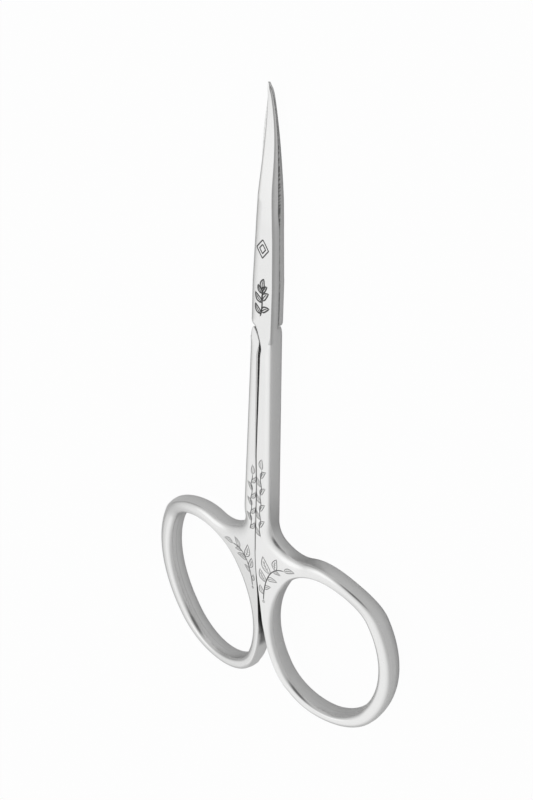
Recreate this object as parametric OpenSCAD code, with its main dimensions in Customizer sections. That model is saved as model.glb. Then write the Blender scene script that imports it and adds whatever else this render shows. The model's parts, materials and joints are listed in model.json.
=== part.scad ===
// Cuticle scissors, closed, lying on their bows and blades with the tips towards +Y.
// Everything is drawn in a working frame first: the pivot axis is its Z axis and the
// back face of the shanks is its z = 0. The module lay() then sets the pair down.

/* [Stock] */
// Thickness of the forged shanks and bows
stock_t = 2.95; // [2.6:0.05:3.6]
// Thickness of the back half where the two halves cross
back_lap_t = 1.22; // [1.1:0.02:1.4]
// Space between the two mating faces
mate_gap = 0.06; // [0.04:0.01:0.1]
// Chamfer along the edges of the bows
edge_cut = 0.3; // [0.15:0.05:0.4]
// Height of the parting ridge round the bows' walls
ridge = 0.08; // [0.04:0.02:0.12]

/* [Blades] */
// Distance from the pivot to the tips
tip_r = 31.7; // [26:0.1:39]
// Distance from the pivot to the start of the cutting edges
edge_start = 8.5; // [7:0.5:10]
// Half width of a blade, from its axis to the cutting edge, where the taper starts
edge_w = 1.85; // [1.6:0.05:2.2]
// Half width of a blade, from its axis to its spine, where the taper starts
spine_w = 1.6; // [1.4:0.05:1.8]
// Thickness of the front blade at its tip
front_tip_t = 0.42; // [0.3:0.02:0.6]
// Thickness of the back blade at its tip
back_tip_t = 0.34; // [0.3:0.02:0.5]
// Height that the tips curve up towards the front
tip_lift = 0.9; // [0.6:0.05:1.6]

/* [Lap] */
// Half width of the lap, where the halves cross
lap_w = 2.1; // [2:0.05:2.5]
// Distance from the pivot down to the corner of the heel
heel_y = 7.1; // [6.4:0.1:8]
// Distance from the middle line out to the corner of the heel
heel_x = 1.6; // [1.4:0.05:1.8]
// Distance from the pivot down to the fork between the shanks
fork_y = 9.7; // [9.2:0.1:11]
// Space between a heel and the shoulder that it closes on
heel_gap = 0.1; // [0.06:0.02:0.2]

/* [Shanks] */
// Distance from the pivot to the bend above the bows
bend_y = 46.5; // [40:0.5:56]
// Width from the middle line to the outer edge at the fork
shank_top_w = 2.05; // [1.9:0.05:2.4]
// Width from the middle line to the outer edge at the bend
shank_low_w = 2.65; // [2.5:0.05:3.1]
// Space between the two shanks at the fork
fork_gap = 0.44; // [0.2:0.02:0.6]
// Distance from the pivot down to where the shanks have drawn together
close_y = 34; // [24:0.5:38]
// Space between the closed shanks below that, and between the closed bows
bow_gap = 0.12; // [0.08:0.02:0.3]

/* [Bows] */
// Width of the finger hole
hole_w = 20.4; // [18:0.2:24.6]
// Length of the finger hole
hole_l = 28; // [25:0.2:32]
// Radius of the finger hole at its two ends
hole_end_r = 8.8; // [8.2:0.1:8.8]
// Width of the band around the finger hole
band_w = 2.05; // [1.7:0.05:2.3]
// Angle that each bow leans outward at its top
bow_lean = 5.6; // [0:0.2:8]
// Angle that the bows are bent back from the shanks
bow_bend = 6.8; // [0:0.2:9]
// Angle that the outer side of each bow is canted back
bow_cant = 6.1; // [0:0.1:8]
// Distance from the bend down to the centre of a bow
bow_drop = 14.9; // [14.5:0.1:18]
// Radius in the corner between shank and bow
crotch_r = 5.2; // [4:0.1:6]

/* [Pivot screw] */
// Diameter of the screw
screw_d = 1.9; // [1.6:0.1:2.3]
// Diameter of the screw's head
head_d = 3.1; // [2.8:0.1:3.6]
// Height of the screw's head
head_t = 0.6; // [0.5:0.05:0.8]
// Width of the driver slot
slot_w = 0.5; // [0.4:0.05:0.6]
// Depth of the driver slot
slot_depth = 0.3; // [0.2:0.02:0.34]
// Metal left over the end of the screw in the front half
screw_skin = 0.35; // [0.25:0.05:0.5]
// Radial clearance of the back half on the screw
pivot_play = 0.03; // [0.02:0.01:0.06]
// Space between the screw's head and the back half
head_play = 0.04; // [0.02:0.01:0.08]
// Radial clearance of the thread in the front half
thread_play = 0.02; // [0.01:0.01:0.04]

/* [Hidden] */
$fn = 96;
steel = [0.80, 0.80, 0.79];
eps = 0.01;
half_t = stock_t / 2;

// Blades: where their taper, thinning and lift start, and the power of each curve
taper_start = 13.5;
thin_start = 10;
lift_start = 14;
edge_curve = 2.3;
spine_curve = 1.25;
lift_curve = 3.5;
thin_curve = 1.4;
// How far a distance from the pivot lies along the way from start to the tips, from 0
function along(r, start) = max(0, (r - start) / (tip_r - start));
function lift(r) = tip_lift * pow(along(r, lift_start), lift_curve);
function thinning(r) = pow(along(r, thin_start), thin_curve);
front_lap_t = stock_t - back_lap_t;
function mate_z(r) = back_lap_t + lift(r);
function front_z(r) = mate_z(r) + front_lap_t - (front_lap_t - front_tip_t) * thinning(r);
function back_z(r) = mate_z(r) - back_lap_t + (back_lap_t - back_tip_t) * thinning(r);
function edge_x(y) = edge_w * (1 - pow(along(y, taper_start), edge_curve));
function spine_x(y) = spine_w * (1 - pow(along(y, taper_start), spine_curve));
taper_steps = 8;
taper_ys = [for (i = [0 : taper_steps - 1]) taper_start + (tip_r - taper_start) * i / taper_steps];
thin_steps = 9;
thin_rs = [for (i = [0 : thin_steps]) thin_start + (tip_r + 1 - thin_start) * i / thin_steps];
tip_half_w = 0.12;
slice_h = stock_t + tip_lift + 2;

// The heel's lower edge curves down to the fork, and the other half's shoulder follows it
function heel_curve(x) = -heel_y - (fork_y - heel_y) * pow(1 - x / heel_x, 2);
heel_steps = 5;
function steps_to_heel(from) = [for (i = [0 : heel_steps]) from + (heel_x - from) * i / heel_steps];
shoulder_l = 2.1;
heel_corner = 1;
heel_xs = steps_to_heel(0);
shoulder_xs = steps_to_heel(fork_gap / 2 - heel_gap);

// A bow's centre line is an oval of four arcs: two side arcs and two end arcs.
oval_a = (hole_w + band_w) / 2;
oval_b = (hole_l + band_w) / 2;
end_r = hole_end_r + band_w / 2;
side_r = (pow(oval_a, 2) + pow(oval_b - end_r, 2) - pow(end_r, 2)) / (2 * (oval_a - end_r));
end_off = oval_b - end_r;
side_off = side_r - oval_a;
arc_split = atan2(end_off, side_off);
// A point of the centre line, where its outward normal points along the angle a
function on_side(a) = abs(cos(a)) > cos(arc_split);
function oval_pt(a) = on_side(a)
    ? [side_r * cos(a) - side_off * sign(cos(a)), side_r * sin(a)]
    : [end_r * cos(a), end_r * sin(a) + end_off * sign(sin(a))];
oval_steps = 96;
oval_as = [for (i = [0 : oval_steps - 1]) 360 * i / oval_steps];
oval_pts = [for (a = oval_as) oval_pt(a)];
// How far the centre line reaches from its centre in the direction of the angle a
function oval_reach(a) = on_side(a) ? side_r - side_off * abs(cos(a)) : end_r + end_off * abs(sin(a));
bow_reach_in = oval_reach(180 - bow_lean) + band_w / 2;
bow_x = bow_reach_in + half_t * tan(bow_cant) + bow_gap / 2;
// The top end arc's centre, and the fillet circle that touches it and the shank's edge
top_c = [bow_x + end_off * sin(bow_lean), -bow_drop + end_off * cos(bow_lean)];
outer_end_r = end_r + band_w / 2;
root_lap = 0.6;
crotch_x = shank_low_w + crotch_r;
crotch_y = top_c[1] + sqrt(pow(crotch_r + outer_end_r, 2) - pow(top_c[0] - crotch_x, 2));

// Height of a bow's middle plane where it meets the middle of the shank's foot
bow_z = half_t + shank_low_w / 2 * sin(bow_cant);

// Where the pair rests: the lowest points of a bow's rim and of the back blade, as [y, z].
// out is how far a rim point lies outside the centre line, and z its height in the bow.
function rim_pt(a, out, z) = let (
    p = oval_pt(a) + out * [cos(a), sin(a)],
    x = bow_x + p[0] * cos(bow_lean) + p[1] * sin(bow_lean),
    y = -bow_drop - p[0] * sin(bow_lean) + p[1] * cos(bow_lean),
    w = z * cos(bow_cant) - x * sin(bow_cant))
    [y * cos(bow_bend) - w * sin(bow_bend) - bend_y, y * sin(bow_bend) + w * cos(bow_bend) + bow_z];
rim_low = [for (a = oval_as) rim_pt(a, band_w / 2 - edge_cut, -half_t)];
rim_mid = [for (a = oval_as) rim_pt(a, band_w / 2, 0)];
blade_low = [for (r = thin_rs) [r, back_z(r)]];
function dip(p, a) = p[0] * sin(a) + p[1] * cos(a);
function lowest(pts, a) = let (m = min([for (p = pts) dip(p, a)])) [for (p = pts) if (dip(p, a) == m) p][0];
function lean(p, q) = -atan2(q[1] - p[1], q[0] - p[0]);
first_tilt = lean(lowest(rim_low, -bow_bend / 2), lowest(blade_low, -bow_bend / 2));
lie_tilt = lean(lowest(rim_low, first_tilt), lowest(blade_low, first_tilt));
lie_z = -dip(lowest(rim_low, lie_tilt), lie_tilt);
bow_end_y = min([for (p = rim_mid) p[0] * cos(lie_tilt) - p[1] * sin(lie_tilt)]);
tip_end_y = tip_r * cos(lie_tilt) - mate_z(tip_r) * sin(lie_tilt);
mid_y = (bow_end_y + tip_end_y) / 2;
echo(lie_tilt = lie_tilt, lie_z = lie_z, mid_y = mid_y, bow_x = bow_x);

// From the working frame to the frame in which the pair lies on z = 0
module lay() {
    translate([0, -mid_y, lie_z]) rotate([lie_tilt, 0, 0]) children();
}

// The space between two heights over the pivot plane, turned about the pivot axis
module turned_layer(low_pts, high_pts) {
    rotate_extrude() polygon(concat(low_pts, [for (i = [len(high_pts) - 1 : -1 : 0]) high_pts[i]]));
}

// Outline of a half's lap and blade, with its cutting edge on the +X side
module lap_outline() {
    polygon(concat(
        [[-spine_w - 0.15, edge_start], [-lap_w, 0], [-lap_w, -heel_y + heel_corner]],
        [for (i = [heel_steps : -1 : 0]) [-heel_xs[i], heel_curve(heel_xs[i])]],
        [[shank_top_w, -fork_y], [lap_w, 0]],
        [[edge_w, edge_start + 1]],
        [for (y = taper_ys) [edge_x(y), y]],
        [[tip_half_w, tip_r], [-tip_half_w, tip_r]],
        [for (i = [taper_steps - 1 : -1 : 0]) [-spine_x(taper_ys[i]), taper_ys[i]]]));
}

// The front half's lap and blade: over the mating face, under the front face
module upper_lap() {
    intersection() {
        turned_layer(
            concat([[0, back_lap_t + mate_gap / 2]], [for (r = thin_rs) [r, mate_z(r) + mate_gap / 2]]),
            concat([[0, stock_t]], [for (r = thin_rs) [r, front_z(r)]]));
        translate([0, 0, -1]) linear_extrude(slice_h) lap_outline();
    }
}

// The back half's lap and blade: under the mating face, over the back face
module lower_lap() {
    intersection() {
        turned_layer(
            concat([[0, 0]], [for (r = thin_rs) [r, back_z(r)]]),
            concat([[0, back_lap_t - mate_gap / 2]], [for (r = thin_rs) [r, mate_z(r) - mate_gap / 2]]));
        translate([0, 0, -1]) linear_extrude(slice_h) mirror([1, 0, 0]) lap_outline();
    }
}

// A shank on the +X side, full thickness, up to the shoulder that the other heel closes on
module shank() {
    linear_extrude(stock_t) polygon(concat(
        [[shank_low_w, -bend_y - root_lap], [shank_low_w, -bend_y], [shank_top_w, -heel_y - shoulder_l]],
        [for (i = [heel_steps : -1 : 0])
            [shoulder_xs[i] + heel_gap, heel_curve(shoulder_xs[i]) - heel_gap]],
        [[bow_gap / 2, -close_y], [bow_gap / 2, -bend_y - root_lap]]));
}

// Section of the band, with a parting ridge half way up its walls
module band_section() {
    w = band_w / 2;
    polygon([
        [w, 0], [w - ridge, half_t - edge_cut], [w - edge_cut, half_t],
        [-w + edge_cut, half_t], [-w + ridge, half_t - edge_cut], [-w, 0],
        [-w + ridge, -half_t + edge_cut], [-w + edge_cut, -half_t],
        [w - edge_cut, -half_t], [w - ridge, -half_t + edge_cut]]);
}

// A full ring of the band round a centre, from which each arc is cut
module band_ring(centre, r) {
    translate(centre) rotate_extrude() translate([r, 0]) band_section();
}

// The region of an end arc, seen from above: the wedge between its two seams
module end_wedge() {
    reach_x = 2 * side_r / tan(arc_split);
    far_y = end_off + 2 * side_r;
    linear_extrude(2 * stock_t, center = true) polygon([[0, end_off], [reach_x, far_y], [-reach_x, far_y]]);
}

// The band's arc along one side of the hole, up to its two seams
module side_arc() {
    difference() {
        band_ring([-side_off, 0, 0], side_r);
        translate([-2 * side_r, 0, 0]) cube([4 * side_r, 4 * side_r, 4 * stock_t], center = true);
        end_wedge();
        mirror([0, 1, 0]) end_wedge();
    }
}

// The band's arc over the top end of the hole
module end_arc() {
    intersection() {
        band_ring([0, end_off, 0], end_r);
        end_wedge();
    }
}

// A bow on the +X side in its own plane, with the web that joins it to its shank
module bow() {
    translate([bow_x, -bow_drop, 0]) rotate([0, 0, -bow_lean]) {
        side_arc();
        mirror([1, 0, 0]) side_arc();
        end_arc();
        mirror([0, 1, 0]) end_arc();
    }
    web_in = bow_gap / 2 + half_t * tan(bow_cant);
    translate([0, 0, -half_t]) linear_extrude(stock_t) difference() {
        polygon([
            [web_in, root_lap], [web_in, -bow_drop + 1], [web_in + band_w / 2, -bow_drop],
            [bow_x, -bow_drop], top_c, [crotch_x, crotch_y],
            [shank_low_w - root_lap / 2, crotch_y], [shank_low_w - root_lap / 2, root_lap]]);
        translate([bow_x, -bow_drop]) rotate(-bow_lean) polygon(oval_pts);
        translate([crotch_x, crotch_y]) circle(crotch_r);
    }
}

// The bow bent back at the foot of its shank and canted
module placed_bow() {
    translate([0, -bend_y, bow_z]) rotate([bow_bend, 0, 0]) rotate([0, bow_cant, 0]) bow();
}

module front_half() {
    color(steel) lay() difference() {
        union() {
            upper_lap();
            shank();
            placed_bow();
        }
        translate([0, 0, -eps]) cylinder(d = screw_d + 2 * thread_play, h = stock_t - screw_skin + eps);
    }
}

module back_half() {
    color(steel) lay() difference() {
        union() {
            lower_lap();
            mirror([1, 0, 0]) shank();
            mirror([1, 0, 0]) placed_bow();
        }
        translate([0, 0, -1]) cylinder(d = screw_d + 2 * pivot_play, h = stock_t + 2);
    }
}

// Slotted screw: its head lies on the back half and its thread ends in the front half
module pivot_screw() {
    color(steel) lay() difference() {
        union() {
            translate([0, 0, -head_t - head_play]) cylinder(d = head_d, h = head_t);
            translate([0, 0, -head_play - eps]) cylinder(d = screw_d, h = stock_t - screw_skin);
        }
        translate([-head_d, -slot_w / 2, -head_play - head_t - 1]) cube([2 * head_d, slot_w, slot_depth + 1]);
    }
}

front_half();
back_half();
pivot_screw();
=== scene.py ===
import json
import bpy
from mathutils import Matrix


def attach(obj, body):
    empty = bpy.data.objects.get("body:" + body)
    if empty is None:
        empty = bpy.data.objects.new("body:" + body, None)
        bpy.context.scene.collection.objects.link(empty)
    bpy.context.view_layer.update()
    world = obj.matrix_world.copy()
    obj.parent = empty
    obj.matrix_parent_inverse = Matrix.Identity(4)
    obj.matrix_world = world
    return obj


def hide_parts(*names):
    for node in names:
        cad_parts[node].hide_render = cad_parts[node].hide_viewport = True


bl_info = {
    "name": "Cuticle scissors",
    "version": (1, 0, 0),
    "blender": (4, 5, 0),
    "location": "3D View > Sidebar > Scissors",
    "description": "Satin steel cuticle scissors, modelled around their packed frame",
    "category": "Object",
}

import bpy
import bmesh
import numpy as np
from mathutils import Matrix
from mathutils.geometry import delaunay_2d_cdt

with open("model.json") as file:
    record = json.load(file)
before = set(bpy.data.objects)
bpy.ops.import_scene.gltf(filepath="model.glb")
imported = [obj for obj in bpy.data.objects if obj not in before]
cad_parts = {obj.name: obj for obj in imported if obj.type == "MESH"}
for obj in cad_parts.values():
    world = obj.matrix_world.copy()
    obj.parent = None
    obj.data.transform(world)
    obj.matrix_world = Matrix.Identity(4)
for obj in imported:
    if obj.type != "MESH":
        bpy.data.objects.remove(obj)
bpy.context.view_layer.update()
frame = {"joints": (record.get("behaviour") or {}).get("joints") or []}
PIVOT = frame["joints"][0]
MM = 0.001


def length(name, text, default):
    """A size that a user may change, given in millimetres and kept in metres."""
    return bpy.props.FloatProperty(
        name=name, description=text, default=default * MM, precision=5, unit="LENGTH", subtype="DISTANCE")


def angle(name, text, default):
    """An angle that a user may change, kept in radians."""
    return bpy.props.FloatProperty(
        name=name, description=text, default=np.radians(default), precision=3, unit="ROTATION",
        subtype="ANGLE")


def amount(name, text, default):
    """A plain number that a user may change."""
    return bpy.props.FloatProperty(name=name, description=text, default=default, precision=3)


def colour(name, text, default):
    """A colour that a user may change."""
    return bpy.props.FloatVectorProperty(
        name=name, description=text, default=default, size=3, min=0, max=1, subtype="COLOR")


class ScissorSizes(bpy.types.PropertyGroup):
    stock_t: length("Stock", "Thickness of the shanks and bows", 2.95)
    back_lap_t: length("Back lap", "Thickness of the back half where the halves cross", 1.22)
    mate_gap: length("Mating gap", "Space between the two mating faces", 0.06)
    mate_swell: length("Mating swell", "Swell of the mating faces along the blades", 0.42)
    tip_r: length("Tip distance", "From the pivot to the tips", 31.7)
    edge_start: length("Edge start", "From the pivot to the start of the cutting edges", 8.5)
    edge_w: length("Edge half width", "From a blade's axis to its cutting edge", 1.85)
    spine_w: length("Spine half width", "From a blade's axis to its spine", 1.6)
    front_tip_t: length("Front tip", "Thickness of the front blade at its tip", 0.42)
    back_tip_t: length("Back tip", "Thickness of the back blade at its tip", 0.34)
    tip_lift: length("Tip lift", "Height by which the tips curve up", 0.9)
    lap_w: length("Lap half width", "Half width of the lap, where the halves cross", 2.1)
    heel_y: length("Heel distance", "From the pivot down to the corner of the heel", 7.1)
    heel_x: length("Heel half width", "From the middle line out to the corner of the heel", 1.6)
    fork_y: length("Fork distance", "From the pivot down to the fork", 9.7)
    heel_gap: length("Heel gap", "Space between a heel and its shoulder", 0.1)
    bend_y: length("Bend distance", "From the pivot down to the bend above the bows", 46.5)
    shank_top_w: length("Shank width at the fork", "From the middle line to the outer edge", 2.05)
    shank_low_w: length("Shank width at the bend", "From the middle line to the outer edge", 2.65)
    fork_gap: length("Fork gap", "Space between the shanks at the fork", 0.44)
    close_y: length("Closing distance", "From the pivot to where the shanks meet", 34)
    bow_gap: length("Bow gap", "Space between the closed shanks and bows below that", 0.12)
    hole_w: length("Hole width", "Width of the finger hole", 20.4)
    hole_l: length("Hole length", "Length of the finger hole", 28)
    hole_end_r: length("Hole end radius", "Radius of the finger hole at its ends", 8.8)
    band_w: length("Band width", "Width of the band round the finger hole", 2.05)
    bow_lean: angle("Bow lean", "Angle that each bow leans outward at its top", 5.6)
    bow_bend: angle("Bow bend", "Angle that the bows are bent back from the shanks", 6.8)
    bow_cant: angle("Bow cant", "Angle that the outer side of each bow is canted back", 6.1)
    bow_drop: length("Bow drop", "Distance from the bend down to the centre of a bow", 14.9)
    crotch_r: length("Crotch radius", "Radius in the corner between shank and bow", 5.2)
    bend_reach: length("Bend reach", "Length to either side over which the bend is spread", 5.5)
    ridge: length("Parting ridge", "Height of the forging's ridge round the bows", 0.12)
    fork_shift: length("Fork shift", "Shift of the gap between the shanks to the left", 0.32)
    arm_swell: length("Arm swell", "Width by which the bow swells out beside the crotch", 0.6)
    heel_swell: length("Root swell", "Width by which the bow swells out low beside the seam", 0.2)
    bow_bulge: length("Bow bulge", "Swell of a bow's outer side half way up", 0.16)
    hole_swell: length("Hole swell", "Width by which the finger hole's outer wall swells in", 0.42)
    hole_bulge: length("Hole bulge", "Swell of the finger hole's wall half way up", 0.1)
    seam_drift: length("Seam drift", "Lean of the seam between the bows to the right", 0.4)
    bow_round_w: length("Bow rounding width", "Width of the rounded outer edge of a bow", 0.82)
    bow_round_h: length("Bow rounding height", "Height of that rounded edge", 0.7)
    hole_round_w: length("Hole rounding width", "Width of the rounded edge of a finger hole", 0.5)
    hole_round_h: length("Hole rounding height", "Height of that rounded edge", 0.95)
    crotch_round_w: length("Crotch rounding width", "Width of the rounded edge between shank and bow", 2.1)
    crotch_round_h: length("Crotch rounding height", "Height of that rounded edge", 1.1)
    shank_round_w: length("Shank rounding width", "Width of the shanks' rounded outer edges", 0.95)
    shank_round_h: length("Shank rounding height", "Height of those rounded edges", 0.4)
    spine_round_w: length("Spine rounding width", "Width of the rounded edge along lap and spine", 1.3)
    spine_round_h: length("Spine rounding height", "Height of that rounded edge", 0.5)
    back_round: length("Back rounding", "Radius along the edges of the back", 0.2)
    hone_h: length("Hone height", "Height of the honed bevel along a cutting edge", 0.65)
    under_round: length("Shank underside rounding", "Radius of the shank's outer edge on the back", 0.55)
    facet_w: length("Blade facet", "Width of the ground facet along a blade's cutting edge", 0.7)
    fine_round: length("Fine rounding", "Radius along the ground inner edges", 0.1)
    edge_bevel: length("Edge bevel", "Width of the honed bevel along a cutting edge", 0.08)
    screw_d: length("Screw", "Diameter of the pivot screw", 1.9)
    head_d: length("Screw head", "Diameter of the screw's head", 3.1)
    head_t: length("Head height", "Height of the screw's head", 0.6)
    slot_w: length("Slot width", "Width of the driver slot", 0.5)
    slot_depth: length("Slot depth", "Depth of the driver slot", 0.3)
    screw_skin: length("Screw cover", "Metal left over the end of the screw", 0.35)
    pivot_play: length("Pivot play", "Radial clearance of the back half on the screw", 0.03)
    thread_play: length("Thread play", "Radial clearance of the thread in the front half", 0.02)
    head_play: length("Head play", "Space between the screw's head and the back half", 0.04)


class ScissorFinish(bpy.types.PropertyGroup):
    steel: colour("Satin steel", "Colour of the satin steel", (0.90, 0.90, 0.895))
    screw: colour("Screw steel", "Colour of the screw", (0.74, 0.735, 0.72))
    ink: colour("Engraving", "Colour of the marked ornament", (0.085, 0.085, 0.085))
    roughness: amount("Roughness", "Mean roughness of the satin steel", 0.24)
    grain: amount("Grain", "Strength of the satin grain", 0.5)
    line_w: length("Line width", "Width of an engraved line", 0.12)
    line_h: length("Line height", "Height that an engraved line stands over the steel", 0.008)


class ScissorStudio(bpy.types.PropertyGroup):
    azimuth: angle("Camera azimuth", "Camera's angle to the right of the front", 41.284)
    elevation: angle("Camera elevation", "Camera's angle towards the tips", 30.669)
    roll: angle("Camera roll", "Camera's roll about its line of sight", 1.591)
    distance: length("Camera distance", "Distance from the camera to the aim point", 345.2)
    view_w: length("View width", "Width that the picture shows at that distance", 80.7)
    aim_y: length("Aim", "From the pivot down to the aim point", 22.5)
    aim_right: length("Aim right", "Offset of the aim point to the picture's right", 0.29)
    aim_up: length("Aim up", "Offset of the aim point upwards in the picture", 2.11)
    floor: colour("Floor", "Colour of the floor", (0.74, 0.74, 0.74))
    lamp_power: amount("Lamp", "Power of the soft lamp in watts", 0.12)


def sizes():
    """The sizes that hold in this scene."""
    return bpy.context.scene.scissor_sizes


def finish():
    """The colours and finish that hold in this scene."""
    return bpy.context.scene.scissor_finish


def studio():
    """The camera and light that hold in this scene."""
    return bpy.context.scene.scissor_studio


# Curves and heights of the halves. All distances run from the pivot.

TAPER_START = 13.5 * MM  # the blades narrow from here on
THIN_START = 10 * MM  # and thin from here on
LIFT_START = 14 * MM  # and curve up from here on
EDGE_CURVE, SPINE_CURVE = 2.6, 1.12  # powers of the taper
LIFT_CURVE, THIN_CURVE = 3.5, 1.4
SWELL_START, SWELL_REACH = 13 * MM, 8 * MM  # the mating faces' swell rises
SWELL_END, SWELL_FADE, SWELL_LOSS = 24 * MM, 7.7 * MM, 0.82  # and falls by that share
POINT_L, POINT_THIN = 1.3 * MM, 0.55  # the last length before the tip, thinned by that share
TIP_LEAN, TIP_LEAN_START, TIP_LEAN_REACH = 0.26 * MM, 29.6 * MM, 2.4 * MM
TIP_HALF_W = 0.12 * MM
SPINE_STEP = 0.15 * MM  # the spine stands out by this where the lap begins
HEEL_CORNER, HEEL_TURN, HEEL_END_X = 1.1 * MM, 0.35 * MM, 0.15 * MM
HEEL_PULL_Y, HEEL_PULL_X = 0.25 * MM, 0.1 * MM  # the control points of the heel's round corner
SHOULDER_PULLS = np.array([[-0.02, 0.9], [0.3, -0.05]]) * MM  # and of the shoulder's
FORK_DROP = 0.9 * MM  # from the foot of the heels down to the open fork
SHOULDER_L = 2.1 * MM  # from the corner of the heel down to where the shank has its width
EDGE_FULL, ROOT_END, ROOT_CLEAR = 1 * MM, 1 * MM, 0.2 * MM
STEP = 0.16 * MM  # spacing of the outline's points
CORNER = 0.11 * MM  # rounding of its corners


def smoothstep(t):
    """3 t squared less 2 t cubed, held between 0 and 1."""
    t = np.clip(t, 0, 1)
    return t * t * (3 - 2 * t)


def ramp(x, start, reach):
    """A smooth step that is 0 up to start and 1 from start plus reach on."""
    return smoothstep((x - start) / reach)


def unit(vector):
    """A vector's direction, with length 1."""
    vector = np.array(vector, float)
    return vector / np.linalg.norm(vector)


def along(r, start):
    """Share of the way from start to the tips at the distance r from the pivot, from 0."""
    return np.clip((r - start) / (sizes().tip_r - start), 0, 1.05)


def lift(r):
    """Height by which the blades curve up: a power of the way to the tips."""
    return sizes().tip_lift * along(r, LIFT_START) ** LIFT_CURVE


def pivot_distance(x, y):
    """Distance from the pivot on the blade's side of it, and 0 on the shank's side."""
    return np.where(y > 0, np.hypot(x, y), 0)


def mating_height(x, y, side):
    """Height of a half's mating face: the lap's, raised by the lift, and half the gap to its side. Half way
    along the blades it swells towards the front, where the front blade is ground thin."""
    s = sizes()
    r = pivot_distance(x, y)
    swell = ramp(r, SWELL_START, SWELL_REACH) * (1 - SWELL_LOSS * ramp(r, SWELL_END, SWELL_FADE))
    return s.back_lap_t + lift(r) + s.mate_swell * swell + side * s.mate_gap / 2


def outer_height(x, y, side):
    """Height of a half's outer face: the lap's thickness less a power of the way to the tips."""
    s = sizes()
    r = pivot_distance(x, y)
    lap_t, tip_t = (s.stock_t - s.back_lap_t, s.front_tip_t) if side > 0 else (s.back_lap_t, s.back_tip_t)
    thick = lap_t - (lap_t - tip_t) * along(r, THIN_START) ** THIN_CURVE
    point = smoothstep((r - s.tip_r + POINT_L) / POINT_L)
    return s.back_lap_t + lift(r) + side * thick * (1 - POINT_THIN * point)


def edge_x(y):
    """Half width to the cutting edge: full, less a power of the way to the tips."""
    s = sizes()
    return TIP_HALF_W + (s.edge_w - TIP_HALF_W) * (1 - along(y, TAPER_START) ** EDGE_CURVE)


def spine_x(y):
    """Half width to the spine, by the same rule with a gentler power."""
    s = sizes()
    return TIP_HALF_W + (s.spine_w - TIP_HALF_W) * (1 - along(y, TAPER_START) ** SPINE_CURVE)


def heel_curve(x):
    """The heel's lower edge: a parabola from the heel's corner down to the fork."""
    s = sizes()
    return -s.heel_y - (s.fork_y - s.heel_y) * (1 - x / s.heel_x) ** 2


class Oval:
    """The centre line of a bow's band: two side arcs and two end arcs that meet in common tangents."""

    def __init__(self):
        s = sizes()
        self.a = (s.hole_w + s.band_w) / 2
        self.b = (s.hole_l + s.band_w) / 2
        self.end_r = s.hole_end_r + s.band_w / 2
        self.end_off = self.b - self.end_r
        self.side_r = (self.a ** 2 + self.end_off ** 2 - self.end_r ** 2) / (2 * (self.a - self.end_r))
        self.side_off = self.side_r - self.a
        self.split = np.arctan2(self.end_off, self.side_off)
        lean = s.bow_lean
        reach = self.side_r - self.side_off * np.cos(lean) + s.band_w / 2
        web_in = s.bow_gap / 2 + s.stock_t / 2 * np.tan(s.bow_cant)
        self.centre = np.array([web_in + reach, -s.bend_y - s.bow_drop])
        self.turn = np.array([[np.cos(lean), np.sin(lean)], [-np.sin(lean), np.cos(lean)]])
        top = self.centre + self.turn @ np.array([0, self.end_off])
        touch = s.crotch_r + self.end_r + s.band_w / 2
        crotch_x = s.shank_low_w + s.crotch_r
        self.crotch = np.array([crotch_x, top[1] + np.sqrt(touch ** 2 - (top[0] - crotch_x) ** 2)])
        self.touch_angle = np.arctan2(*(self.crotch - top)[::-1])

    def rim(self, a, out):
        """Points whose outward normal has the angle a, at the distance out from the centre line."""
        c, s = np.cos(a), np.sin(a)
        on_side = np.abs(c) > np.cos(self.split)
        x = np.where(on_side, self.side_r * c - self.side_off * np.sign(c), self.end_r * c)
        y = np.where(on_side, self.side_r * s, self.end_r * s + self.end_off * np.sign(s))
        points = np.stack([x + out * c, y + out * s], 1)
        return points @ self.turn.T + self.centre


def bezier(points, steps=28):
    """A cubic curve from the first of four control points to the last."""
    a, b, c, d = np.array(points, float)
    t = np.linspace(0, 1, steps)[:, None]
    return (1 - t) ** 3 * a + 3 * (1 - t) ** 2 * t * b + 3 * (1 - t) * t * t * c + t ** 3 * d


def runs(path):
    """Distance along a polyline at each of its points."""
    return np.concatenate([[0], np.cumsum(np.hypot(*np.diff(path, axis=0).T))])


def resample(path, step=STEP):
    """Points at even spaces along a polyline, both ends included."""
    path = np.asarray(path, float)
    run = runs(path)
    at = np.linspace(0, run[-1], max(2, int(np.ceil(run[-1] / step)) + 1))
    return np.stack([np.interp(at, run, path[:, k]) for k in (0, 1)], 1)


def blur(values, width, closed=True):
    """A bell-shaped running mean of a path's values, width counted in points."""
    n = int(np.ceil(3 * width))
    bell = np.exp(-0.5 * (np.arange(-n, n + 1) / width) ** 2)
    bell /= bell.sum()
    if closed:
        padded = np.concatenate([values[-n:], values, values[:n]])
    else:
        padded = np.concatenate([values[:1].repeat(n, 0), values, values[-1:].repeat(n, 0)])
    columns = padded.reshape(len(padded), -1)
    return np.stack([np.convolve(c, bell, "valid") for c in columns.T], 1).reshape(values.shape)


def inward(points, closed=True):
    """Unit normals on the left of a path, which is the material's side."""
    if closed:
        t = np.roll(points, -1, 0) - np.roll(points, 1, 0)
    else:
        t = np.gradient(points, axis=0)
    t /= np.hypot(t[:, 0], t[:, 1])[:, None]
    return np.stack([-t[:, 1], t[:, 0]], 1)


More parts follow.
